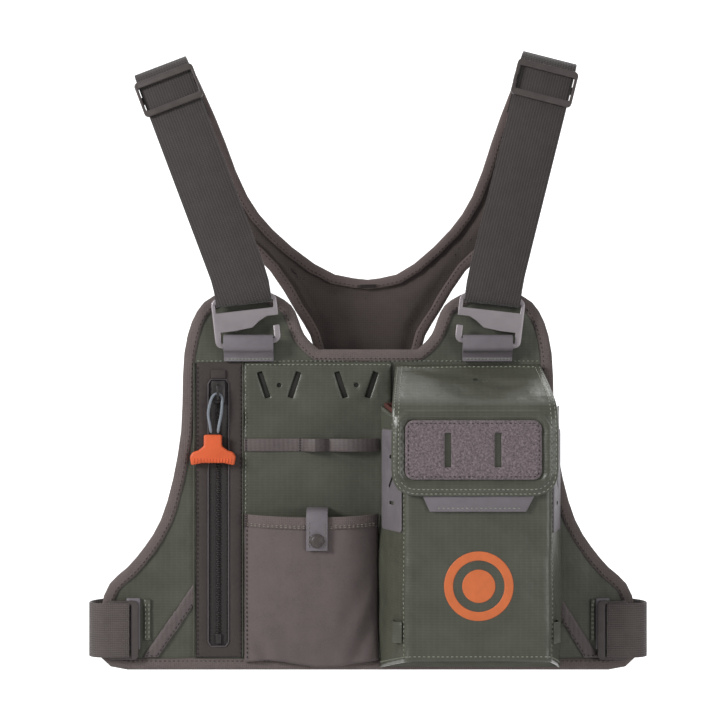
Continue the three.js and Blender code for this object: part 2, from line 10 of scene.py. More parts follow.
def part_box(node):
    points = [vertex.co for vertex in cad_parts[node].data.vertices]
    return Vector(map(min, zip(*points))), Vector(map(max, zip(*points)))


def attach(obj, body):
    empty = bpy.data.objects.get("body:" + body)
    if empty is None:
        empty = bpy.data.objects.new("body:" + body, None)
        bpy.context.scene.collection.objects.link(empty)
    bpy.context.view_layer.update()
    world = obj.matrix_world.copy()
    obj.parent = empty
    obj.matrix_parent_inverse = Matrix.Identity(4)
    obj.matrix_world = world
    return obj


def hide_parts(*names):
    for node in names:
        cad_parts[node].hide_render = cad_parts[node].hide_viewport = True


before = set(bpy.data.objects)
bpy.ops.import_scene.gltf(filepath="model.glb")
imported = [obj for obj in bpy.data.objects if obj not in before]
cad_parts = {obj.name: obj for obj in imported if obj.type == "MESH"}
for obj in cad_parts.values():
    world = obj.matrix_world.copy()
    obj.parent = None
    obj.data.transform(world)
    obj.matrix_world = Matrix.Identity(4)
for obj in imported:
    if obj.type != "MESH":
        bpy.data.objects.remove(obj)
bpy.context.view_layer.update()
MM = 0.001
FINE = 3.2 * MM  # spacing of the points in a sheet of cloth
ROW_RISE = 0.87  # height of a row of nearly even triangles, as a share of their side
STITCH = {"length": 2.0 * MM, "pitch": 3.1 * MM, "radius": 0.32 * MM}
STRAP_LEAN = {"left": 20.9, "right": -14.3}  # of the shoulder webbing, in degrees
FRONT = Vector((0, -1, 0))  # the way the vest's front faces
PACK = "front_pack"
SIDES = ("left", "right")


# ---------------------------------------------------------------- camera, light, stage
def add_object(name, data):
    """A new object, linked to the scene."""
    made = bpy.data.objects.new(name, data)
    bpy.context.scene.collection.objects.link(made)
    return made


def make_camera():
    """Square to the chest, at the height of the pack's top edge."""
    low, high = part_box("front_shell")
    distance, aside, below_top = 1.4, 5.5 * MM, 46 * MM
    data = bpy.data.cameras.new("camera")
    data.lens = 102
    data.clip_end = 20
    camera = add_object("camera", data)
    camera.location = (low.x + (high.x - low.x) / 2 - aside, low.y - distance, high.z - below_top)
    camera.rotation_euler = (math.pi / 2, 0, 0)
    bpy.context.scene.camera = camera


def area_light(name, place, size, power, target):
    data = bpy.data.lights.new(name, "AREA")
    data.shape = "DISK"
    data.size = size
    data.energy = power
    light = add_object(name, data)
    light.location = place
    light.rotation_euler = (Vector(target) - light.location).to_track_quat("-Z", "Y").to_euler()


def make_stage():
    """A floor that sweeps up into a bright backdrop well behind the hanging vest."""
    drop, back, front, rise, bend, half, steps = -1.3, 2.2, -3.0, 3.5, 0.9, 4, 8
    profile = [(front, drop), (back - bend, drop)]
    for i in range(1, steps + 1):
        turn = i / steps * math.pi / 2
        profile.append((back - bend + bend * math.sin(turn), drop + bend - bend * math.cos(turn)))
    profile.append((back, rise))
    mesh = bpy.data.meshes.new("studio_floor")
    verts = [(x, y, z) for y, z in profile for x in (-half, half)]
    mesh.from_pydata(verts, [], [(2 * i, 2 * i + 1, 2 * i + 3, 2 * i + 2) for i in range(len(profile) - 1)])
    for face in mesh.polygons:
        face.use_smooth = True
    floor = add_object("studio_floor", mesh)
    for name, glow in (("studio_floor", 0.0), ("studio_backdrop", 0.72)):
        material, _, _ = shader_of(name, (0.88, 0.88, 0.88), 0.9,
                                   Emission_Color=(1, 1, 1, 1), Emission_Strength=glow)
        mesh.materials.append(material)
    for face in mesh.polygons:
        face.material_index = 1 if face.center.z > drop + 0.1 else 0
    world = bpy.data.worlds.new("studio")
    world.use_nodes = True
    background = world.node_tree.nodes["Background"]
    background.inputs["Color"].default_value = (0.97, 0.98, 1, 1)
    background.inputs["Strength"].default_value = 0.28
    bpy.context.scene.world = world
    bpy.context.scene.view_settings.view_transform = "Standard"
    centre = (0, 0, -0.08)
    area_light("key", (-1.5, -1.1, 0.55), 0.6, 26, centre)
    area_light("fill", (1.3, -1.5, 0.0), 1.0, 9, centre)
    area_light("rim", (0.5, 1.1, 1.4), 0.8, 7, centre)
    area_light("backdrop_wash", (0, 0.6, 1.9), 2.5, 12, (0, 2.1, 0.1))


# ---------------------------------------------------------------- materials
def shader_of(name, color, roughness, **sockets):
    """A new material with its Principled shader; sockets are set by name."""
    material = bpy.data.materials.new(name)
    material.use_nodes = True
    tree = material.node_tree
    shader = tree.nodes["Principled BSDF"]
    shader.inputs["Base Color"].default_value = (*color, 1)
    shader.inputs["Roughness"].default_value = roughness
    for socket, value in sockets.items():
        shader.inputs[socket.replace("_", " ")].default_value = value
    return material, tree, shader


def linear(r, g, b):
    """An sRGB colour given as 0 to 255, as linear values."""
    return tuple((c / 255 / 12.92) if c <= 10 else ((c / 255 + 0.055) / 1.055) ** 2.4 for c in (r, g, b))


def node(tree, kind, **settings):
    made = tree.nodes.new(kind)
    for key, value in settings.items():
        if key in made.inputs:
            made.inputs[key].default_value = value
        else:
            setattr(made, key, value)
    return made


def weighted(tree, *terms):
    """The sum of some values, each given with its weight."""
    (value, weight), rest = terms[0], terms[1:]
    scaled = combine(tree, "MULTIPLY", value, weight)
    return combine(tree, "ADD", scaled, weighted(tree, *rest)) if rest else scaled


def coordinates(tree, turn=(0, 0, 0)):
    """Object coordinates in metres, turned so that X and Z follow the cloth's threads."""
    place = node(tree, "ShaderNodeTexCoord")
    mapping = node(tree, "ShaderNodeMapping", Rotation=turn)
    tree.links.new(place.outputs["Object"], mapping.inputs["Vector"])
    return mapping.outputs["Vector"]


def bands(tree, where, axis, period):
    """Even stripes across an axis, one light stripe for each period in metres."""
    wave = node(tree, "ShaderNodeTexWave", bands_direction=axis, wave_profile="SIN")
    wave.inputs["Scale"].default_value = math.pi / 10 / period
    wave.inputs["Distortion"].default_value = 0
    tree.links.new(where, wave.inputs["Vector"])
    return wave.outputs["Fac"]


def speckle(tree, where, size, detail=3, rough=0.6):
    made = node(tree, "ShaderNodeTexNoise", Scale=1 / size, Detail=detail, Roughness=rough)
    tree.links.new(where, made.inputs["Vector"])
    return made.outputs["Fac"]


def combine(tree, operation, a, b):
    made = node(tree, "ShaderNodeMath", operation=operation)
    for socket, value in zip(made.inputs, (a, b)):
        if isinstance(value, (int, float)):
            socket.default_value = value
        else:
            tree.links.new(value, socket)
    return made.outputs[0]


def ramp(tree, factor, dark, light, low=0.3, high=0.7):
    made = node(tree, "ShaderNodeValToRGB")
    made.color_ramp.elements[0].position = low
    made.color_ramp.elements[0].color = (*dark, 1)
    made.color_ramp.elements[1].position = high
    made.color_ramp.elements[1].color = (*light, 1)
    tree.links.new(factor, made.inputs["Fac"])
    return made.outputs["Color"]


def shade(color, factor):
    return tuple(min(1, c * factor) for c in color)


def bump(tree, shader, height, distance, strength=1.0):
    made = node(tree, "ShaderNodeBump", Strength=strength, Distance=distance)
    tree.links.new(height, made.inputs["Height"])
    tree.links.new(made.outputs["Normal"], shader.inputs["Normal"])


def tint(tree, shader, factor, color, dark, light, low=0.3, high=0.7):
    """Colours the shader from color times dark up to color times light, as the factor rises."""
    tree.links.new(ramp(tree, factor, shade(color, dark), shade(color, light), low, high),
                   shader.inputs["Base Color"])


def woven(name, color, warp, weft=None, depth=0.12 * MM, roughness=0.9, contrast=0.14, heather=0.0,
          **sockets):
    """Plain woven cloth: crossing threads in the bump, and soft uneven colour."""
    material, tree, shader = shader_of(name, color, roughness, **sockets)
    where = coordinates(tree)
    threads = combine(tree, "ADD", bands(tree, where, "X", warp), bands(tree, where, "Z", weft or warp))
    fuzz = speckle(tree, where, 0.0009, 2)
    height = weighted(tree, (threads, 0.5), (fuzz, 0.6))
    tone = weighted(tree, (speckle(tree, where, 0.012, 4), 0.62), (height, 0.38))
    if heather:
        flecks = combine(tree, "MULTIPLY", combine(tree, "SUBTRACT", fuzz, 0.5), heather)
        tone = combine(tree, "ADD", tone, flecks)
    tint(tree, shader, tone, color, 1 - contrast, 1 + contrast)
    bump(tree, shader, height, depth, 0.8)
    return material


def coated(name, color):
    """Coated ripstop: a smooth film with the grid of the cloth showing faintly through it."""
    roughness = 0.36
    material, tree, shader = shader_of(name, color, roughness, Specular_IOR_Level=0.5, Coat_Weight=0.2,
                                       Coat_Roughness=0.35)
    where = coordinates(tree)
    rows = combine(tree, "POWER", bands(tree, where, "Z", 1.9 * MM), 2.0)
    columns = combine(tree, "POWER", bands(tree, where, "X", 3.8 * MM), 4.0)
    grid = combine(tree, "ADD", rows, combine(tree, "MULTIPLY", columns, 0.6))
    soft = speckle(tree, where, 0.02, 4)
    fine = speckle(tree, where, 0.0012, 2)
    tone = weighted(tree, (soft, 0.7), (grid, 0.16), (fine, 0.12))
    tint(tree, shader, tone, color, 0.84, 1.16)
    worn = combine(tree, "ADD", combine(tree, "MULTIPLY", soft, 0.24), roughness - 0.12)
    tree.links.new(worn, shader.inputs["Roughness"])
    height = weighted(tree, (grid, 0.35), (fine, 0.3))
    puckers = speckle(tree, where, 0.011, 2)
    height = combine(tree, "ADD", height, combine(tree, "MULTIPLY", puckers, 9.0))
    bump(tree, shader, height, 0.10 * MM, 0.7)
    return material


def webbing(name, color, turn=(0, 0, 0), axes=("X", "Z"), rib=1.9 * MM):
    """Ribbed webbing: ribs along its length, crossed by fine slanting picks."""
    material, tree, shader = shader_of(name, color, 0.82, Sheen_Weight=0.25, Sheen_Roughness=0.5)
    where = coordinates(tree, turn)
    ribs = bands(tree, where, axes[0], rib)
    picks = bands(tree, where, axes[1], 1.3 * MM)
    fuzz = speckle(tree, where, 0.0007, 2)
    height = weighted(tree, (ribs, 0.7), (picks, 0.35), (fuzz, 0.4))
    tone = weighted(tree, (height, 0.5), (speckle(tree, where, 0.01, 3), 0.5))
    tint(tree, shader, tone, color, 0.66, 1.3, 0.3, 0.85)
    bump(tree, shader, height, 0.35 * MM, 0.9)
    return material


def spacer_mesh(name, color):
    """Open spacer mesh: rows of small dark cells over foam."""
    material, tree, shader = shader_of(name, color, 0.95, Sheen_Weight=0.2)
    where = coordinates(tree)
    cells = node(tree, "ShaderNodeTexVoronoi", Scale=1 / (2.6 * MM), Randomness=0.25)
    tree.links.new(where, cells.inputs["Vector"])
    tint(tree, shader, cells.outputs["Distance"], color, 0.5, 1.25, 0.1, 0.55)
    bump(tree, shader, cells.outputs["Distance"], 0.5 * MM, 0.8)
    return material


def moulded(name, color, roughness=0.5, depth=0.05 * MM, vary=0.1, **sockets):
    """Moulded or coated pieces: fine grain, and a little wear in the colour."""
    material, tree, shader = shader_of(name, color, roughness, **sockets)
    where = coordinates(tree)
    fine = speckle(tree, where, 0.0006, 3)
    wide = speckle(tree, where, 0.008, 3)
    tint(tree, shader, wide, color, 1 - vary, 1 + vary)
    tree.links.new(combine(tree, "ADD", combine(tree, "MULTIPLY", wide, 0.16), roughness - 0.08),
                   shader.inputs["Roughness"])
    bump(tree, shader, fine, depth, 0.6)
    return material


def looped(name, color):
    """Brushed loop fabric: curled pile in light and dark flecks."""
    material, tree, shader = shader_of(name, color, 1.0, Sheen_Weight=0.3)
    where = coordinates(tree)
    pile = speckle(tree, where, 0.0014, 5, 0.75)
    tint(tree, shader, pile, color, 0.45, 1.65, 0.36, 0.64)
    bump(tree, shader, pile, 0.9 * MM, 1.0)
    return material


GREEN = linear(80, 81, 70)
TAUPE = linear(98, 88, 87)
ZIP_CLOTH = linear(64, 57, 55)
TAPE = linear(98, 88, 86)
DARK = linear(60, 54, 53)
GREY = linear(116, 110, 115)
METAL = linear(168, 160, 164)
ORANGE = linear(224, 98, 52)
THREAD = linear(140, 132, 122)


def make_materials():
    made = {
        "green": coated("green_ripstop", GREEN),
        # Painted shade: a copy of the green darkened to 0.8, matte and with little gloss, for the box pocket's
        # downward-facing floor.
        "green_inner": woven("green_matte_shaded", shade(GREEN, 0.8), 1.4 * MM, roughness=1.0,
                             Specular_IOR_Level=0.1),
        "taupe": woven("taupe_nylon", TAUPE, 0.8 * MM, depth=0.08 * MM, heather=0.5),
        "zip_cloth": woven("zip_panel_cloth", ZIP_CLOTH, 0.9 * MM, depth=0.08 * MM, contrast=0.12),
        "tape": woven("binding_grosgrain", TAPE, 1.3 * MM, depth=0.2 * MM, contrast=0.2, heather=0.5),
        "ribbon": woven("ribbon_grosgrain", shade(TAUPE, 0.78), 3.2 * MM, 1.1 * MM, depth=0.16 * MM,
                        roughness=0.6, contrast=0.2),
        "yoke_tape": woven("yoke_grosgrain", linear(98, 86, 84), 1.3 * MM, depth=0.2 * MM, heather=0.5),
        "yoke_cloth": woven("yoke_cloth", linear(74, 65, 62), 1.6 * MM, contrast=0.16, heather=0.3),
        "mesh": spacer_mesh("spacer_mesh", linear(72, 66, 64)),
        "waist_web": webbing("waist_webbing", linear(86, 77, 75), axes=("Z", "X"), rib=1.5 * MM),
        "window_rim": moulded("zip_window_rim", linear(84, 78, 80), 0.5),
        # Painted shadow: the near-black sheet behind the tool dock's slots.
        "shadow": moulded("dock_slot_shadow", linear(34, 33, 30), 0.8),
        "tail_web": webbing("tail_webbing", DARK),
        "hypalon": moulded("hypalon_grey", GREY, 0.55, depth=0.04 * MM, vary=0.07),
        "metal": moulded("satin_aluminium", METAL, 0.42, depth=0.03 * MM, vary=0.04, Metallic=0.55),
        "zip_metal": moulded("zip_metal", linear(70, 66, 66), 0.4, Metallic=0.6),
        "plastic": moulded("dark_plastic", linear(76, 69, 67), 0.45, depth=0.03 * MM),
        "zip_tape": woven("zipper_tape", linear(38, 34, 33), 1.2 * MM, roughness=0.6, contrast=0.16),
        "coil": moulded("zipper_coil", linear(42, 38, 37), 0.4, vary=0.15),
        "orange": moulded("grip_orange", ORANGE, 0.5, depth=0.05 * MM, vary=0.06),
        "print": moulded("orange_print", linear(214, 112, 62), 0.55, depth=0.02 * MM, vary=0.06),
        "cord": woven("pull_cord", linear(124, 130, 138), 0.9 * MM, depth=0.15 * MM, contrast=0.2,
                      roughness=0.6),
        "pile": looped("loop_pile", linear(116, 104, 108)),
        "collar": woven("collar_cloth", linear(84, 46, 40), 1.4 * MM),
        "thread": moulded("thread", THREAD, 0.7, vary=0.1),
        "dark_thread": moulded("dark_thread", linear(46, 40, 39), 0.75, vary=0.1),
        "pale_thread": moulded("pale_thread", linear(150, 156, 140), 0.7, vary=0.1),
    }
    for name, angle in STRAP_LEAN.items():
        made[f"strap_{name}"] = webbing(f"shoulder_webbing_{name}", DARK, turn=(0, math.radians(angle), 0))
    return made


# The slot of the part that each material's pieces fill; thread fills none.
SLOT_MATERIALS = {
    "green_cloth": ("green", "green_inner", "print"),
    "taupe_cloth": ("taupe", "ribbon"),
    "zip_cloth": ("zip_cloth",),
    "binding_tape": ("tape", "yoke_tape"),
    "mesh_pad": ("mesh", "yoke_cloth"),
    "dark_webbing": ("waist_web", "tail_web", "strap_left", "strap_right"),
    "hypalon": ("hypalon", "window_rim"),
    "hook_metal": ("metal",),
    "zip_metal": ("zip_metal",),
    "dark_plastic": ("plastic", "shadow", "zip_tape", "coil"),
    "grip_rubber": ("orange",),
    "pull_cord": ("cord",),
    "loop_patch": ("pile",),
    "collar_cloth": ("collar",),
}
SLOTS = {material: slot for slot, materials in SLOT_MATERIALS.items() for material in materials}
MATERIALS = make_materials()
STITCHES = {}


# ---------------------------------------------------------------- mesh tools
def declare_looks(obj, material, body, stands_for, slot):
    """Attaches a finished piece to its body and hides the CAD parts it stands for. Its slot is worked out (None
    is its material's own, and "" is no slot) but not kept.
    """
    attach(obj, body)
    if stands_for:
        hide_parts(*stands_for)
    slot = SLOTS.get(material) if slot is None else slot


def place(name, verts, faces, material, body=PACK, stands_for=(), slot=None):
    """Makes one piece of the vest from points and faces in the frame's metres."""
    mesh = bpy.data.meshes.new(name)
    mesh.from_pydata([tuple(v) for v in verts], [], faces)
    made = bmesh.new()
    made.from_mesh(mesh)
    bmesh.ops.remove_doubles(made, verts=made.verts, dist=1e-6)
    bmesh.ops.recalc_face_normals(made, faces=made.faces)
    made.to_mesh(mesh)
    made.free()
    for face in mesh.polygons:
        face.use_smooth = True
    mesh.materials.append(MATERIALS[material])
    obj = add_object(name, mesh)
    declare_looks(obj, material, body, stands_for, slot)
    return obj


def cad_mesh(cad_node):
    """A copy of a CAD node's mesh with its split corners merged."""
    copy = bmesh.new()
    copy.from_mesh(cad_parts[cad_node].data)
    bmesh.ops.remove_doubles(copy, verts=copy.verts, dist=1e-6)
    return copy


def front_loops(cad_node):
    """The outlines, in X and Z, of the flat face that looks to the front: outer one first."""
    copy = cad_mesh(cad_node)
    copy.normal_update()
    flat = [f for f in copy.faces if f.normal.y < -0.9]
    extreme = min(f.calc_center_median().y for f in flat)
    flat = [f for f in flat if f.calc_center_median().y < extreme + 0.2 * MM]
    chosen = set(flat)
    follow = {}
    for face in flat:
        for loop in face.loops:
            if sum(f in chosen for f in loop.edge.link_faces) == 1:
                follow[loop.vert.index] = (loop.link_loop_next.vert.index, loop.vert.co.xz.copy())
    loops = []
    while follow:
        start = next(iter(follow))
        at, points = start, []
        while at in follow:
            at, point = follow.pop(at)
            points.append(point)
        loops.append(points)
    copy.free()
    return sorted(loops, key=lambda points: -abs(signed_area(points)))


def signed_area(points):
    return sum(a.x * b.y - b.x * a.y for a, b in zip(points, points[1:] + points[:1])) / 2


def resample(points, spacing, closed=True):
    """Points at an even spacing along a line, keeping each of its own corners."""
    ends = list(zip(points, points[1:] + points[:1])) if closed else list(zip(points, points[1:]))
    made = []
    for a, b in ends:
        if (b - a).length < 0.01 * MM:
            continue
        steps = max(1, round((b - a).length / spacing))
        made += [a.lerp(b, i / steps) for i in range(steps)]
    return made if closed else made + [points[-1]]


def inset_loop(points, distance):
    """A closed outline moved inwards."""
    sign = 1 if signed_area(points) > 0 else -1
    made = []
    for i, point in enumerate(points):
        a = (point - points[i - 1]).normalized()
        b = (points[(i + 1) % len(points)] - point).normalized()
        normal = Vector((-(a + b).y, (a + b).x)).normalized()
        miter = max(0.5, normal.dot(Vector((-a.y, a.x))))
        made.append(point + normal * (sign * distance / miter))
    return made


def inside(point, points):
    """Whether a point lies within a closed outline."""
    hit = False
    for a, b in zip(points, points[1:] + points[:1]):
        if (a.y > point.y) != (b.y > point.y):
            if point.x < a.x + (point.y - a.y) / (b.y - a.y) * (b.x - a.x):
                hit = not hit
    return hit


def fill_outline(outer, holes, spacing):
    """Points and triangles over an outline with holes, and each point's distance to an edge."""
    edge_ring = 0.7 * MM
    loops = [resample(outer, spacing)] + [resample(hole, spacing / 2) for hole in holes]
    points, edges, rim = [], [], []
    for number, loop in enumerate(loops):
        rim += loop
        ring = inset_loop(loop, edge_ring if number == 0 else -edge_ring)
        for line in (loop, ring):
            start = len(points)
            points += line
            edges += [(start + i, start + (i + 1) % len(line)) for i in range(len(line))]
    tree = kdtree.KDTree(len(rim))
    for i, point in enumerate(rim):
        tree.insert((point.x, point.y, 0), i)
    tree.balance()
    low = Vector((min(p.x for p in outer), min(p.y for p in outer)))
    high = Vector((max(p.x for p in outer), max(p.y for p in outer)))
    rows = int((high.y - low.y) / (spacing * ROW_RISE)) + 1
    columns = int((high.x - low.x) / spacing) + 1
    for j in range(rows):
        for i in range(columns + 1):
            point = Vector((low.x + (i + 0.5 * (j % 2)) * spacing, low.y + j * spacing * ROW_RISE))
            away = tree.find((point.x, point.y, 0))[2]
            if away > spacing * 0.75 and inside(point, outer) and not any(inside(point, h) for h in holes):
                points.append(point)
    made = geometry.delaunay_2d_cdt(points, edges, [], 0, 1e-7)
    verts, triangles = made[0], []
    away = [tree.find((v.x, v.y, 0))[2] for v in verts]
    for face in made[2]:
        middle = sum((verts[i] for i in face), Vector((0, 0))) / len(face)
        touches_cloth = any(away[i] > edge_ring / 2 for i in face)
        if touches_cloth or (inside(middle, outer) and not any(inside(middle, h) for h in holes)):
            triangles.append(tuple(face))
    return verts, triangles, away


def rolled(distance, radius):
    """How far a rounded edge has dropped, this far in from it."""
    if distance >= radius:
        return 0.0
    return radius - math.sqrt(max(0.0, radius**2 - (radius - distance) ** 2))


def flat_cloth(name, cad_node, material, lift, body=PACK, roll=0.5 * MM, spacing=FINE):
    """A sheet over a CAD plate's own outline, lifted by lift(x, z, distance to edge), with rounded edges."""
    low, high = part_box(cad_node)
    loops = front_loops(cad_node)
    points, triangles, away = fill_outline(loops[0], loops[1:], spacing)
    front = [(p.x, low.y - lift(p.x, p.y, d) + rolled(d, roll), p.y) for p, d in zip(points, away)]
    back = [(p.x, high.y - (0.1 * MM if d > 0.01 * MM else 0.3 * MM), p.y) for p, d in zip(points, away)]
    return place(name, *layered(front, back, triangles), material, body, (cad_node,))


def layered(front, back, triangles):
    """Points and faces of a closed sheet: front ones, and for each one a point behind it."""
    return front + back, close_sheets(triangles, len(front))


def close_sheets(triangles, count):
    """Faces of a front sheet, its copy behind, and the rim that joins them."""
    faces = list(triangles) + [tuple(i + count for i in reversed(face)) for face in triangles]
    edges = {edge: True for face in triangles for edge in zip(face, face[1:] + face[:1])}
    return faces + [(b, a, a + count, b + count) for a, b in edges if (b, a) not in edges]


def ripple(x, z, size, seed=0.0):
    """Smooth noise from -1 to 1 over the cloth."""
    return noise.noise(Vector((x / size, z / size, seed)))


def thick_grid(rows, thickness):
    """Closed sheet over a grid of points, thickness inwards along the normals."""
    count, across = len(rows), len(rows[0])
    front = [p for row in rows for p in row]
    back = []
    for j in range(count):
        for i in range(across):
            du = rows[j][min(i + 1, across - 1)] - rows[j][max(i - 1, 0)]
            dv = rows[min(j + 1, count - 1)][i] - rows[max(j - 1, 0)][i]
            back.append(rows[j][i] - du.cross(dv).normalized() * thickness)
    quads = [(j * across + i, j * across + i + 1, (j + 1) * across + i + 1, (j + 1) * across + i)
             for j in range(count - 1) for i in range(across - 1)]
    return front + back, close_sheets(quads, len(front))


def sweep(line, section, closed):
    """Skins a section, given as functions of each station, along a line of stations."""
    size = len(section(line[0]))
    verts = [p for station in line for p in section(station)]
    turns = len(line) if closed else len(line) - 1
    faces = []
    for i in range(turns):
        for k in range(size):
            here, there, onward = i * size, (i + 1) % len(line) * size, (k + 1) % size
            faces.append((here + k, here + onward, there + onward, there + k))
    if not closed:
        faces += [tuple(range(size)), tuple(range((turns + 1) * size - 1, turns * size - 1, -1))]
    return verts, faces


def refined(cad_node, material, bevel, segments=3, body=PACK, smooth_steps=0, slot=None):
    """A finely finished stand-in for a hard CAD piece: same shape, rounded edges."""
    copy = cad_mesh(cad_node)
    bmesh.ops.dissolve_limit(copy, angle_limit=math.radians(1.5), verts=copy.verts, edges=copy.edges)
    mesh = bpy.data.meshes.new(cad_node + "_look")
    copy.to_mesh(mesh)
    copy.free()
    obj = add_object(mesh.name, mesh)
    if bevel:
        rounding = obj.modifiers.new("rounding", "BEVEL")
        rounding.width = bevel
        rounding.segments = segments
        rounding.limit_method = "ANGLE"
        rounding.angle_limit = math.radians(35)
        rounding.use_clamp_overlap = True
    if smooth_steps:
        obj.modifiers.new("smoothing", "SUBSURF").levels = smooth_steps
        obj.modifiers["smoothing"].render_levels = smooth_steps
    evaluated = obj.evaluated_get(bpy.context.evaluated_depsgraph_get())
    final = bpy.data.meshes.new_from_object(evaluated)
    obj.modifiers.clear()
    obj.data = final
    final.materials.clear()
    final.materials.append(MATERIALS[material])
    for face in final.polygons:
        face.use_smooth = True
    final.set_sharp_from_angle(angle=math.radians(32))
    declare_looks(obj, material, body, (cad_node,), slot)


def stitch(points, thread="thread", body=PACK, pitch=STITCH["pitch"], length=STITCH["length"],
           radius=STITCH["radius"], out=FRONT):
    """A run of stitches along a line of points; out is the side that they lie on, or a list of them."""
    verts, faces = STITCHES.setdefault((body, thread), ([], []))
    travelled, target = 0.0, pitch / 2
    for i, (a, b) in enumerate(zip(points, points[1:])):
        step = (b - a).length
        while step > 0 and travelled + step >= target:
            middle = a.lerp(b, (target - travelled) / step)
            facing = out[i] if isinstance(out, list) else out
            add_bead(verts, faces, middle, (b - a) / step, facing, length, radius)
            target += pitch
        travelled += step


def seam(start, end, y, thread="thread", **choices):
    """A straight run of stitches; its start and its end are each an x and a z."""
    stitch([Vector((x, y, z)) for x, z in (start, end)], thread, **choices)


def add_bead(verts, faces, middle, along, out, length, radius):
    """One stitch: a short thread that dips at both ends."""
    side = along.cross(out).normalized()
    up = side.cross(along).normalized()
    start, sides, half = len(verts), 5, length / 2
    verts.append(middle - along * half - up * radius * 0.7)
    for at in (-0.55, 0.55):
        for turn in range(sides):
            angle = turn / sides * 2 * math.pi
            ring = side * math.cos(angle) + up * math.sin(angle)
            verts.append(middle + along * half * at + ring * radius)
    verts.append(middle + along * half - up * radius * 0.7)
    for turn in range(sides):
        a, b = start + 1 + turn, start + 1 + (turn + 1) % sides
        faces.append((start, b, a))
        faces.append((a, b, b + sides, a + sides))
        faces.append((a + sides, b + sides, start + 1 + 2 * sides))


def bartack(centre, half_width, half_height, body=PACK):
    """A dense bar of zigzag stitches, upright in X and Z."""
    rows = max(4, round(half_height * 2 / (1.0 * MM)))
    for i in range(rows):
        z = centre.z - half_height + 2 * half_height * i / (rows - 1)
        seam((centre.x - half_width, z), (centre.x + half_width, z + 0.5 * MM), centre.y, "dark_thread",
             body=body, pitch=2 * half_width, length=2 * half_width, radius=0.35 * MM)


def finish_stitches():
    for (body, thread), (verts, faces) in STITCHES.items():
        place(f"stitching_{body}_{thread}", verts, faces, thread, body)


# ---------------------------------------------------------------- shared shapes
def circle(count):
    """Even steps round a circle of radius 1, as pairs of cosine and sine."""
    turns = [2 * math.pi * k / count for k in range(count)]
    return [(math.cos(turn), math.sin(turn)) for turn in turns]


def stitched_outline(loop, inset, y, body=PACK, keep=lambda p: True, out=FRONT):
    """Dark stitches that follow an outline, inset from it, broken where keep() says no."""
    runs = [[]]
    line = resample(inset_loop(loop, inset), 4 * MM)
    for point in line + line[:1]:
        if keep(point) and distance_to_loop(point, loop) > 0.9 * inset:
            runs[-1].append(Vector((point.x, y, point.y)))
        else:
            runs.append([])
    for run in runs:
        stitch(run, "dark_thread", body, out=out)


def folded_tape(name, cad_node, width, material, body=PACK, seed=0.0):
    """Binding tape folded round the outer edge of its CAD piece, and sewn down on both faces."""
    front, back = (corner.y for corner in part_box(cad_node))
    loop = front_loops(cad_node)[0]
    line = resample(loop, 4 * MM)
    inner = inset_loop(line, 1.0)
    directions = [(b - a).normalized() for a, b in zip(line, inner)]
    depth = back - front
    profile = [
        (width, 0.5 * MM), (width, -0.1 * MM), (0.72 * width, -0.45 * MM), (0.4 * width, -0.5 * MM),
        (0.14 * width, -0.1 * MM), (0.02 * width, 1.2 * MM), (0, depth * 0.35), (0, depth * 0.65),
        (0.02 * width, depth - 1.2 * MM), (0.14 * width, depth + 0.1 * MM), (0.5 * width, depth + 0.4 * MM),
        (width, depth + 0.1 * MM), (width, depth - 0.5 * MM), (1.6 * MM, depth - 1.2 * MM),
        (1.6 * MM, 1.2 * MM),
    ]

    def section(i):
        point, inward = line[i], directions[i]
        wave = ripple(point.x, point.y, 0.011, seed) * 0.45 * MM
        made = []
        for reach, dip in profile:
            at = point + inward * (reach + (wave if reach > 0.5 * width else 0))
            made.append(Vector((at.x, front + dip + ripple(at.x, at.y, 0.009, seed + 3) * 0.16 * MM, at.y)))
        return made

    place(name, *sweep(range(len(line)), section, closed=True), material, body, (cad_node,))
    for side, y in ((-1, front - 0.35 * MM), (1, back + 0.35 * MM)):
        stitched_outline(loop, width - 1.7 * MM, y, body, out=Vector((0, side, 0)))


# ---------------------------------------------------------------- front pack: shell, pad, bindings
def shell_lift(x, z, away):
    """Soft dents and puckers in the coated cloth, strongest near the bound edge."""
    near = math.exp(-away / (12 * MM))
    return (0.8 * ripple(x, z, 0.04, 1.0) + 0.5 * ripple(x, z, 0.016, 2.0) * (0.3 + near)) * MM + 0.3 * MM


def declare_panel(cad_node):
    """Works out a sewn-down panel's outline from its CAD plate, and its area; neither is kept."""
    loops = front_loops(cad_node)
    area = abs(signed_area(loops[0])) - sum(abs(signed_area(hole)) for hole in loops[1:])


def make_shell():
    shell = flat_cloth("shell_cloth", "front_shell", "green", shell_lift, spacing=4 * MM)
    declare_panel("front_shell")
    folded_tape("pack_edge_tape", "edge_binding", 8 * MM, "tape")
    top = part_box("organizer_panel")[1].z + 0.9 * MM
    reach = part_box("zip_panel")[0].x
    seam((reach, top), (-reach, top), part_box("front_shell")[0].y - 0.9 * MM, "pale_thread")


def crown(away, height, reach):
    """A padded rise that starts steeply at the edge and levels off."""
    t = min(1.0, away / reach)
    return height * math.sqrt(max(0.0, 1 - (1 - t) ** 2))


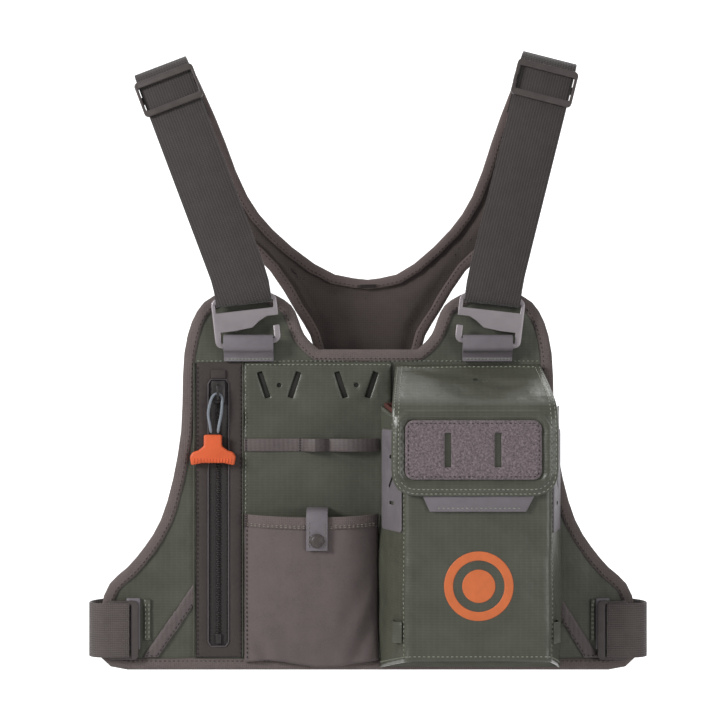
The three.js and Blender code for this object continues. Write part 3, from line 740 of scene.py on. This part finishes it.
def make_back_pad():
    """The cushion against the chest: crowned between its bound edges, with two channels for air."""
    low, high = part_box("back_pad")
    border, shoulder, channel = 9 * MM, 14 * MM, 62 * MM
    rim = inset_loop(front_loops("front_shell")[0], 1.0 * MM)
    points, triangles, away = fill_outline(rim, [], 5 * MM)
    centre = (low.x + high.x) / 2
    back = []
    for point, d in zip(points, away):
        rise = crown(max(0, d - 4 * MM), high.y - low.y - border, shoulder)
        gap = abs(abs(point.x - centre) - channel)
        rise -= 1.1 * MM * math.exp(-(gap / (3.5 * MM)) ** 2) * (1 if d > shoulder else 0)
        wave = 0.25 * MM * ripple(point.x, point.y, 0.03, 5)
        back.append((point.x, low.y + border + rise + wave, point.y))
    front = [(p.x, low.y + 0.4 * MM, p.y) for p in points]
    pad = place("back_cushion", *layered(back, front, [tuple(reversed(t)) for t in triangles]), "mesh",
                stands_for=("back_pad",))


def make_yoke():
    """Padded yoke with a raised inner field, a flat border and a bound edge."""
    low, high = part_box("yoke_pad")
    outline = front_loops("yoke_pad")[0]
    points, triangles, away = fill_outline(outline, [], 4 * MM)
    middle = (low.y + high.y) / 2
    front, back = [], []
    for point, d in zip(points, away):
        step = crown(max(0, d - 9 * MM), 2.6 * MM, 8 * MM)
        wave = 0.35 * MM * ripple(point.x, point.y, 0.03, 7) + 0.2 * MM * ripple(point.x, point.y, 0.011, 8)
        front.append((point.x, middle - 1.5 * MM - step - wave, point.y))
        back.append((point.x, middle + 1.5 * MM + step + wave, point.y))
    pad = place("yoke_cushion", *layered(front, back, triangles), "yoke_cloth", "harness", ("yoke_pad",))
    folded_tape("yoke_edge_tape", "yoke_binding", 7 * MM, "yoke_tape", "harness", seed=4.0)
    low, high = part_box("yoke_binding")
    loop = front_loops("yoke_binding")[0]
    for side in (-1, 1):
        stitched_outline(loop, 13.5 * MM, middle + side * 2.4 * MM, "harness",
                         lambda p: p.y < high.z - 20 * MM, Vector((0, side, 0)))
    bartack(Vector((0, low.y - 0.7 * MM, -5 * MM)), 8 * MM, 0.9 * MM, "harness")


# ---------------------------------------------------------------- front pack: flat panels and trim
def panel_lift(x, z, away):
    """Waves over the organizer panel, with tighter puckers near its seams."""
    near = math.exp(-away / (10 * MM))
    return (0.6 * ripple(x, z * 1.5, 0.034, 11) + 0.75 * near * ripple(x * 0.6, z, 0.011, 12) + 0.4) * MM


def rect_stitch(cad_node, inset, thread, proud, sides):
    """Straight stitching along the left, right or top of a plate, by the first letters of the sides."""
    low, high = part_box(cad_node)
    x0, x1, z0, z1 = low.x + inset, high.x - inset, low.z + inset, high.z - inset
    runs = {"l": ((x0, z0), (x0, z1)), "r": ((x1, z0), (x1, z1)), "t": ((x0, z1), (x1, z1))}
    for side in sides:
        seam(*runs[side], low.y - proud, thread)


def make_panels():
    panel = flat_cloth("zip_panel_cloth", "zip_panel", "zip_cloth",
                       lambda x, z, d: (0.15 + 0.12 * ripple(x, z, 0.03, 21)) * MM)
    declare_panel("zip_panel")
    rect_stitch("zip_panel", 1.2 * MM, "dark_thread", 0.35 * MM, "lr")
    panel = flat_cloth("organizer_cloth", "organizer_panel", "green", panel_lift, spacing=2.8 * MM)
    declare_panel("organizer_panel")
    low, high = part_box("organizer_panel")
    # Painted shadow: a near-black sheet just behind the organizer panel stands for the shade inside the tool
    # dock's slots.
    margin, depth, y = 3 * MM, 30 * MM, high.y - 0.35 * MM
    rows = [[Vector((low.x + margin + (high.x - low.x - 2 * margin) * i / 8, y, z)) for i in range(9)]
            for z in (high.z - depth, high.z - margin)]
    place("dock_slot_shadow", *thick_grid(rows, 0.15 * MM), "shadow")
    rect_stitch("organizer_panel", 1.6 * MM, "pale_thread", 0.75 * MM, "lt")
    # A welt of folded cloth stands along both seams of the zip panel.
    zip_low, zip_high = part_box("zip_panel")
    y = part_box("front_shell")[0].y - 1.5 * MM
    for name, x in (("outer", zip_low.x - 1.2 * MM), ("inner", zip_high.x + 0.3 * MM)):
        line = [Vector((x, y, low.z + (high.z - low.z) * i / 40)) for i in range(41)]
        ridge(f"seam_welt_{name}", line, 1.1 * MM, 1.3 * MM, "green")
    for name in SIDES:
        make_side_trim(name)
    refined("inner_divider", "taupe", 0.3 * MM, 1)


def make_side_trim(name):
    """One side's diagonal ribbon, anchor strip and tab, and its loop for the hook."""
    ribbon, strip, tab = f"diagonal_ribbon_{name}", f"side_anchor_strip_{name}", f"side_tab_{name}"
    flat_cloth(f"{ribbon}_cloth", ribbon, "ribbon",
               lambda x, z, d: 0.35 * MM + 0.1 * MM * ripple(x, z, 0.01, 30), spacing=2.5 * MM)
    stitched_outline(front_loops(ribbon)[0], 1.3 * MM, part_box(ribbon)[0].y - 0.4 * MM)
    flat_cloth(f"side_anchor_{name}_cloth", strip, "green", lambda x, z, d: 0.5 * MM, spacing=2 * MM)
    rect_stitch(strip, 1.1 * MM, "pale_thread", 0.55 * MM, "lr")
    flat_cloth(f"{tab}_skin", tab, "hypalon", lambda x, z, d: 0.1 * MM, spacing=2.5 * MM)
    rect_stitch(tab, 1.5 * MM, "thread", 0.1 * MM, "lr")
    make_hook_loop(name)


def ridge(name, line, width, height, material):
    """A low rounded ridge along a line of points on the pack's front."""
    angles = [math.pi * k / 6 for k in range(7)]

    def section(i):
        ahead = (line[min(i + 1, len(line) - 1)] - line[max(i - 1, 0)]).normalized()
        side = ahead.cross(FRONT).normalized()
        return [line[i] + side * math.cos(a) * width / 2 + FRONT * math.sin(a) * height for a in angles]

    place(name, *sweep(range(len(line)), section, closed=False), material, slot="")


def make_hook_loop(name):
    """Coated cloth folded round the hook's lower bar and sewn down at its foot."""
    refined(f"hook_loop_{name}", "hypalon", 0.45 * MM, 2)
    low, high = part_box(f"hook_loop_{name}")
    z = low.z + 1.6 * MM
    seam((low.x + 2 * MM, z), (high.x - 2 * MM, z), low.y + 6.9 * MM, "pale_thread", pitch=2.4 * MM)


# ---------------------------------------------------------------- zipper
def make_zipper():
    low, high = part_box("zipper_tape")
    window = front_loops("zip_panel")[1]
    # The window's edge is a thin welded rim.
    line = [Vector((p.x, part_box("zip_panel")[0].y - 0.25 * MM, p.y)) for p in resample(window, 2 * MM)]
    place("zip_window_rim", *ring_tube(line, 0.55 * MM), "window_rim")
    tape_front = high.y - 0.8 * MM
    points, triangles, _ = fill_outline(inset_loop(window, 0.35 * MM), [], 2 * MM)
    centre = (low.x + high.x) / 2
    front = []
    for p in points:
        fold = min(1, abs(p.x - centre) / (3 * MM))
        front.append((p.x, tape_front + 0.25 * MM * math.cos(fold * math.pi), p.y))
    back = [(p.x, high.y, p.y) for p in points]
    place("zipper_cloth", *layered(front, back, triangles), "zip_tape", stands_for=("zipper_tape",))
    make_coil(centre, low.y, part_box("zip_bottom_stop")[1].z + 0.5 * MM, high.z - 1 * MM)
    for side in (-1, 1):
        x = centre + side * 5.6 * MM
        seam((x, low.z + 2.7 * MM), (x, high.z - 5.7 * MM), tape_front - 0.45 * MM, "dark_thread",
             pitch=2.6 * MM, length=1.9 * MM, radius=0.25 * MM)
    refined("zip_garage", "zip_cloth", 0.9 * MM, slot="hypalon")
    refined("zip_bottom_stop", "zip_metal", 0.5 * MM)
    refined("zip_slider", "zip_metal", 0.45 * MM, body="zip_slider")


def make_coil(centre, front, bottom, top):
    """Two interleaved rows of coil teeth, each a short rounded bar."""
    pitch = 1.25 * MM
    verts, faces = [], []
    for i in range(int((top - bottom) / pitch)):
        side = 1 if i % 2 else -1
        z = bottom + pitch * i
        middle = Vector((centre + side * 0.3 * MM, front + 0.8 * MM, z))
        add_bead(verts, faces, middle, Vector((side, 0, 0)), FRONT, 3.2 * MM, 0.5 * MM)
    place("zipper_coil", verts, faces, "coil")


def ring_tube(line, radius):
    """A closed round cord along a closed line."""
    def section(i):
        ahead = (line[(i + 1) % len(line)] - line[i - 1]).normalized()
        side = ahead.cross(Vector((0, 1, 0))).normalized()
        up = side.cross(ahead).normalized()
        return [line[i] + (side * c + up * s) * radius for c, s in circle(6)]

    return sweep(range(len(line)), section, closed=True)


def make_pull():
    """Cord loop through the slider's staple, and the moulded T-shaped grip with ribs along its lower edge."""
    refined("pull_cord_loop", "cord", 0, body="zip_pull", smooth_steps=1)
    refined("pull_grip", "orange", 1.3 * MM, 4, body="zip_pull")
    low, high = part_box("pull_grip")
    centre = (low.x + high.x) / 2
    verts, faces = [], []
    for i in range(-6, 7):
        foot = Vector((centre + i * 2.1 * MM, low.y - 0.05 * MM, low.z + 3.4 * MM - 0.02 * abs(i) * MM))
        add_bead(verts, faces, foot, Vector((0, 0, 1)), FRONT, 4.2 * MM, 0.42 * MM)
    place("grip_ribs", verts, faces, "orange", "zip_pull")


# ---------------------------------------------------------------- ribbon, open pocket, snap
def make_ribbon():
    refined("daisy_ribbon", "ribbon", 0.25 * MM, 2)
    low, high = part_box("daisy_ribbon")
    middle = (low.z + high.z) / 2
    for x in (low.x + 1.6 * MM, low.x + 38.5 * MM, low.x + 59.5 * MM):
        bartack(Vector((x, high.y - 1.4 * MM, middle)), 1.0 * MM, 3.9 * MM)


def pocket_surface():
    """The open pocket's front as a function of u across and v up, fitted to its CAD sheet."""
    low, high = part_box("open_pocket")

    def surface(u, v, proud=0.0):
        x = low.x + (high.x - low.x) * u
        rim_dip = 1.5 * MM * math.sin(math.pi * u)
        sag = (2.2 * MM * math.sin(2.3 * math.pi * u + 0.4) - 1.6 * MM) * (1 - v) ** 2
        z = low.z + (high.z - low.z) * v - rim_dip * v + sag + 2 * MM * (1 - v) ** 2
        swell = 1.2 * MM + 13.8 * MM * math.sin(math.pi / 2 * min(1, 1.9 * v + 0.04))
        stand = swell * max(0.0, math.sin(math.pi * u)) ** 0.5
        fall = 1.5 * MM * ripple(x, z * 0.45, 0.026, 41)
        fall += 0.7 * MM * ripple(x * 1.3, z * 0.7, 0.013, 42) * (1.2 - v)
        for edge in (0.02, 0.98):
            corner = math.exp(-((u - edge) / 0.2) ** 2 - ((v - 0.05) / 0.45) ** 2)
            fall += 1.6 * MM * corner * math.sin((abs(u - edge) * 1.6 + v * 0.9) * 17)
        fall *= min(1, 8 * u, 8 * (1 - u))
        return Vector((x, high.y - 1.4 * MM - stand - fall - proud, z))

    return surface


def make_open_pocket():
    """The pocket's cloth, the tape over its mouth and the stitches that hold them."""
    surface = pocket_surface()
    across, up = 44, 48
    rows = [[surface(i / across, j / up) for i in range(across + 1)] for j in range(up + 1)]
    cloth = place("open_pocket_cloth", *thick_grid(rows, 1.1 * MM), "taupe", stands_for=("open_pocket",))
    tape_rows = (0.922, 0.93, 0.95, 0.97, 0.99, 1.0, 1.006)
    height = tape_rows[-1] - tape_rows[0]
    rows = []
    for v in tape_rows:
        proud = 0.6 * MM + 0.35 * MM * math.sin(math.pi * (v - tape_rows[0]) / height)
        rows.append([surface(i / across, v, proud) for i in range(across + 1)])
    place("open_pocket_tape", *thick_grid(rows, 0.8 * MM), "tape", stands_for=("open_pocket_binding",))
    for v in (0.934, 0.946):
        stitch([surface(i / 60, v, 1.2 * MM) for i in range(1, 60)])
    for u in (0.016, 0.984):
        bartack(surface(u, 0.96, 2.2 * MM), 1.0 * MM, 4 * MM)
    stitch([surface(0.02, 0.02 + 0.88 * j / 40, 0.7 * MM) for j in range(41)], "dark_thread")


def make_snap():
    """The snap tab with its domed cap, a turned shape whose rings are given by radius and depth."""
    refined("snap_tab", "hypalon", 0.4 * MM, 2, body="snap")
    low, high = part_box("snap_cap")
    centre, radius = (low + high) / 2, (high.x - low.x) / 2

    def section(ring):
        reach, y = radius * ring[0], low.y + ring[1] * 1.2 * MM
        return [Vector((centre.x + reach * c, y, centre.z + reach * s)) for c, s in circle(40)]

    rings = ((0.55, -0.5), (0.72, -0.2), (0.78, 0.05), (0.86, -0.15), (0.97, 0.1), (1.0, 0.6), (1.0, 1.0))
    place("snap_button", *sweep(rings, section, closed=False), "plastic", "snap", ("snap_cap",))
    refined("snap_stud", "plastic", 0.2 * MM, 1)
    low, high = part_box("snap_tab")
    for x in (low.x + 1.8 * MM, high.x - 1.8 * MM):
        seam((x, low.z + 1.5 * MM), (x, high.z - 7 * MM), low.y - 0.05 * MM, body="snap")


# ---------------------------------------------------------------- box pocket and its lid
def fillet(points, radius, steps=6):
    """A path with its inner corners rounded."""
    made = [points[0]]
    for a, b, c in zip(points, points[1:], points[2:]):
        before = b + (a - b).normalized() * min(radius, (a - b).length / 2)
        after = b + (c - b).normalized() * min(radius, (c - b).length / 2)
        for i in range(steps + 1):
            t = i / steps
            made.append(before.lerp(b, t).lerp(b.lerp(after, t), t))
    return made + [points[-1]]


def pocket_walls():
    """Where the box pocket's walls start and stop at its back and at its front."""
    verts = [v.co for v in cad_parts["box_pocket"].data.vertices]
    low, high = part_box("box_pocket")
    walls = {}
    for end, plane in (("back", high.y), ("front", low.y)):
        near = [v for v in verts if abs(v.y - plane) < 0.3 * MM]
        walls[end] = {"y": plane, "left": min(v.x for v in near), "right": max(v.x for v in near),
                      "low": min(v.z for v in near), "high": max(v.z for v in near)}
    return walls


def make_box_pocket():
    walls = pocket_walls()
    back, front = walls["back"], walls["front"]
    corners = [Vector((front["left"], front["y"])), Vector((front["right"], front["y"]))]
    ends = [Vector((back["left"], back["y"])), Vector((back["right"], back["y"]))]
    plan = resample(fillet([ends[0], *corners, ends[1]], 5 * MM), 2.6 * MM, closed=False)

    def wall(i, v, proud=0.0):
        point = plan[i]
        share = (back["y"] - point.y) / (back["y"] - front["y"])
        low = back["low"] + (front["low"] - back["low"]) * share
        high = back["high"] + (front["high"] - back["high"]) * share
        z = low + (high - low) * v
        ahead = plan[min(i + 1, len(plan) - 1)] - plan[max(i - 1, 0)]
        out = Vector((ahead.y, -ahead.x)).normalized()
        away = min((point - c).length for c in corners)
        inner = min(1.0, away / (26 * MM)) * min(1.0, (1 - share) * 8 + (1.0 if share > 0.99 else 0.0))
        swell = 2.3 * MM * inner * math.sin(math.pi * min(1.0, v / 0.62))
        calm = min(1.0, max(0.15, (0.66 - v) * 6))
        fine = math.exp(-away / (10 * MM)) * ripple(point.x - point.y, z, 0.009, 52)
        creases = 0.55 * ripple(point.x + point.y, z, 0.024, 51) + 0.45 * fine
        foot = 0.7 * MM * math.exp(-((z - low) / (2.0 * MM)) ** 2)
        rise = swell + creases * calm * MM + foot + 0.8 * MM * math.exp(-(away / (3.2 * MM)) ** 2) + proud
        return Vector((point.x + out.x * rise, point.y + out.y * rise, z)), Vector((out.x, out.y, 0))

    levels = 60
    rows = [[wall(i, j / levels)[0] for i in range(len(plan))] for j in range(levels + 1)]
    cloth = place("box_pocket_cloth", *thick_grid(rows, 1.2 * MM), "green", stands_for=("box_pocket",))
    make_pocket_floor(back, front)
    for corner in corners:
        for side in (-1, 1):
            reach = 3.4 * MM
            near = min(range(len(plan)), key=lambda i: abs((plan[i] - corner).length - reach)
                       + (0 if (plan[i].x - corner.x) * side > 0 or plan[i].y > corner.y + 2 * MM else 1))
            run = [wall(near, 0.02 + 0.96 * k / 50, 0.15 * MM) for k in range(51)]
            skin_stitch(run)
    skin_stitch([wall(i, 0.02, 0.1 * MM) for i in range(len(plan))])
    make_motif(wall, plan, front)
    for name in SIDES:
        refined(f"pocket_side_panel_{name}", "hypalon", 0.3 * MM, 2)
        refined(f"pocket_side_loop_{name}", "green", 0.3 * MM, 2)
    refined("pocket_collar", "collar", 0.3 * MM, 2)
    refined("closure_loop_tape", "plastic", 0.2 * MM, 1)


def skin_stitch(run, body=PACK):
    """Pale stitches along points that each come with the way their cloth faces."""
    stitch([point for point, _ in run], "pale_thread", body, out=[out for _, out in run])


def make_pocket_floor(back, front):
    """The bottom of the box pocket, sagging a little between the lower edges of its walls."""
    deep, across = 12, 32
    floor = []
    for j in range(deep + 1):
        share = j / deep
        left, right, y, z = (back[k] + (front[k] - back[k]) * share for k in ("left", "right", "y", "low"))
        x0, x1 = left + 0.8 * MM, right - 0.8 * MM
        row = []
        for i in range(across + 1):
            x = x0 + (x1 - x0) * i / across
            sag = 1.2 * MM * math.sin(math.pi * i / across) * math.sin(math.pi * share)
            height = z + 0.2 * MM - sag + 0.4 * MM * ripple(x, y, 0.02, 55)
            row.append(Vector((x, y + (1.0 * MM if j == deep else 0), height)))
        floor.append(row)
    # The floor takes the darkened green: painted shade on its downward face.
    place("box_pocket_floor", *thick_grid(floor, 1.2 * MM), "green_inner")


def make_motif(wall, plan, front):
    """A plain printed roundel on the pocket's front: a disc in a ring, one film thick."""
    centre = (front["left"] + front["right"]) / 2
    middle = front["low"] + 50 * MM
    height = front["high"] - front["low"]

    def printed(x, z):
        near = min(range(1, len(plan) - 1), key=lambda i: abs(plan[i].x - x) + abs(plan[i].y - front["y"]))
        other = near + (1 if x > plan[near].x else -1)
        t = (x - plan[near].x) / (plan[other].x - plan[near].x)
        v = (z - front["low"]) / height
        return wall(near, v, 0.2 * MM)[0].lerp(wall(other, v, 0.2 * MM)[0], t)

    def ring(radius):
        return [Vector((centre + radius * c, middle + radius * s)) for c, s in circle(72)]

    for name, outer, holes in (("ring", 23 * MM, [ring(17 * MM)]), ("disc", 11 * MM, [])):
        points, triangles, _ = fill_outline(ring(outer), holes, 2.5 * MM)
        front_side = [printed(p.x, p.y) for p in points]
        back_side = [p + Vector((0, 0.12 * MM, 0)) for p in front_side]
        place(f"print_{name}", *layered(front_side, back_side, triangles), "print")


# How far each bend of the lid lies behind its front face and below its top edge, in mm.
LID_BENDS = ((50.8, 0), (26.0, 12.1), (7.9, 22.2), (3.3, 25.8), (0.7, 30.0), (0, 34.7), (0, 87.0))


class LidPath:
    """The lid's side view: from distance down the cloth to a point and the way it faces."""

    def __init__(self):
        low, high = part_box("pocket_lid")
        bends = [Vector((low.y + behind * MM, high.z - below * MM)) for behind, below in LID_BENDS]
        self.line = resample(fillet(bends, 6 * MM), 1.0 * MM, closed=False)
        self.length = sum((b - a).length for a, b in zip(self.line, self.line[1:]))

    def at(self, down):
        """The point (y, z) this far down the cloth, and the way the lid faces there."""
        travelled = 0.0
        for a, b in zip(self.line, self.line[1:]):
            step = (b - a).length
            if travelled + step >= down or b is self.line[-1]:
                ahead = (b - a).normalized()
                point = a + ahead * (down - travelled)
                return point, Vector((0, ahead.y, -ahead.x))
            travelled += step


def distance_to_loop(point, loop):
    """The distance from a point to the nearest part of a closed outline."""
    best = 1.0
    for a, b in zip(loop, loop[1:] + loop[:1]):
        along = b - a
        t = max(0.0, min(1.0, (point - a).dot(along) / along.length_squared))
        best = min(best, (point - a - along * t).length)
    return best


def make_lid():
    low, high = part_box("pocket_lid")
    path = LidPath()
    patch = front_loops("fly_patch")[0]
    taper = 7.4 * MM  # the right side draws in this far towards the top seam, the left side half as far
    knee = -path.length * 0.53
    corners = ((low.x + 0.5 * taper, 0), (low.x, knee), (low.x, -path.length),
               (high.x, -path.length), (high.x, knee), (high.x - taper, 0))
    outline = fillet([Vector(corner) for corner in corners], 18 * MM)
    crease = [Vector((low.x + 18 * MM, -5 * MM)), Vector((low.x + 80 * MM, -30 * MM))]

    def skin(point, d, proud=0.0):
        at, out = path.at(-point.y)
        rise = 0.35 * MM * ripple(point.x, point.y, 0.022, 61)
        rise += 0.25 * MM * ripple(point.x, point.y, 0.009, 62)
        rise += 0.35 * MM if d < 6 * MM else 0.0
        here = Vector((point.x, at.y))
        away = distance_to_loop(here, patch)
        if at.y < patch[0].y + 60 * MM and not inside(here, patch) and out.z < 0.2:
            rise += 2.9 * MM * math.exp(-((away - 4.4 * MM) / (1.9 * MM)) ** 2)
        elif inside(here, patch):
            rise = -0.25 * MM
        fold = distance_to_loop(point, crease)
        rise -= 1.1 * MM * math.exp(-(fold / (7 * MM)) ** 2)
        rise += proud - rolled(d, 1.1 * MM)
        return Vector((point.x, at.x, at.y)) + out * rise, out

    points, triangles, away = fill_outline(outline, [], 2.6 * MM)
    top = [skin(p, d)[0] for p, d in zip(points, away)]
    under = []
    for p in points:
        at, out = path.at(-p.y)
        under.append(Vector((p.x, at.x, at.y)) - out * 1.2 * MM)
    cloth = place("pocket_lid_cloth", *layered(top, under, triangles), "green", "lid", ("pocket_lid",))
    for inset in (1.7 * MM, 4.6 * MM):
        line = [p for p in resample(inset_loop(outline, inset), 3 * MM) if p.y < -3 * MM]
        start = max(range(len(line)), key=lambda i: (line[i] - line[i - 1]).length)
        line = line[start:] + line[:start]
        skin_stitch([skin(p, 3 * MM, 0.15 * MM) for p in line], "lid")
    flat_cloth("fly_patch_pile", "fly_patch", "pile",
               lambda x, z, d: (0.5 * ripple(x, z, 0.004, 64) + 0.3) * MM, "lid", 0.9 * MM, 2 * MM)
    stitched_outline(patch, 2.0 * MM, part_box("fly_patch")[0].y - 0.35 * MM, "lid")
    refined("lid_pull_tab", "hypalon", 0.35 * MM, 2, body="lid")
    tab_low, tab_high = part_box("lid_pull_tab")
    inset, z = 9.5 * MM, tab_low.z + 2.4 * MM
    seam((tab_low.x + inset, z), (tab_high.x - inset, z), tab_low.y - 0.05 * MM, "pale_thread", body="lid")
    refined("closure_hook_tape", "plastic", 0.2 * MM, 1, body="lid")


# ---------------------------------------------------------------- harness webbing and hardware
def make_harness():
    for name in SIDES:
        refined(f"g_hook_{name}", "metal", 1.1 * MM, 4, body=f"hook_{name}")
        refined(f"strap_slider_{name}", "plastic", 1.1 * MM, 4, body=f"strap_slider_{name}")
        refined(f"shoulder_webbing_{name}", f"strap_{name}", 0.35 * MM, 2, body="harness")
        refined(f"waist_webbing_{name}", "waist_web", 0.35 * MM, 2, body=f"waist_{name}")
        refined(f"waist_buckle_{name}", "plastic", 0.8 * MM, body=f"waist_{name}")
    refined("yoke_tail_webbing", "tail_web", 0.35 * MM, 2, body="harness")
    refined("net_ring", "metal", 0, body="net_ring", smooth_steps=1)
    refined("net_ring_tab", "hypalon", 0.3 * MM, 2, body="harness")
    low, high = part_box("yoke_tail_webbing")
    for x in (low.x + 2 * MM, high.x - 2 * MM):
        seam((x, low.z + 4 * MM), (x, high.z - 4 * MM), high.y + 0.05 * MM, body="harness", out=-FRONT)


make_camera()
make_stage()
make_shell()
make_back_pad()
make_yoke()
make_panels()
make_zipper()
make_pull()
make_ribbon()
make_open_pocket()
make_snap()
make_box_pocket()
make_lid()
make_harness()
finish_stitches()
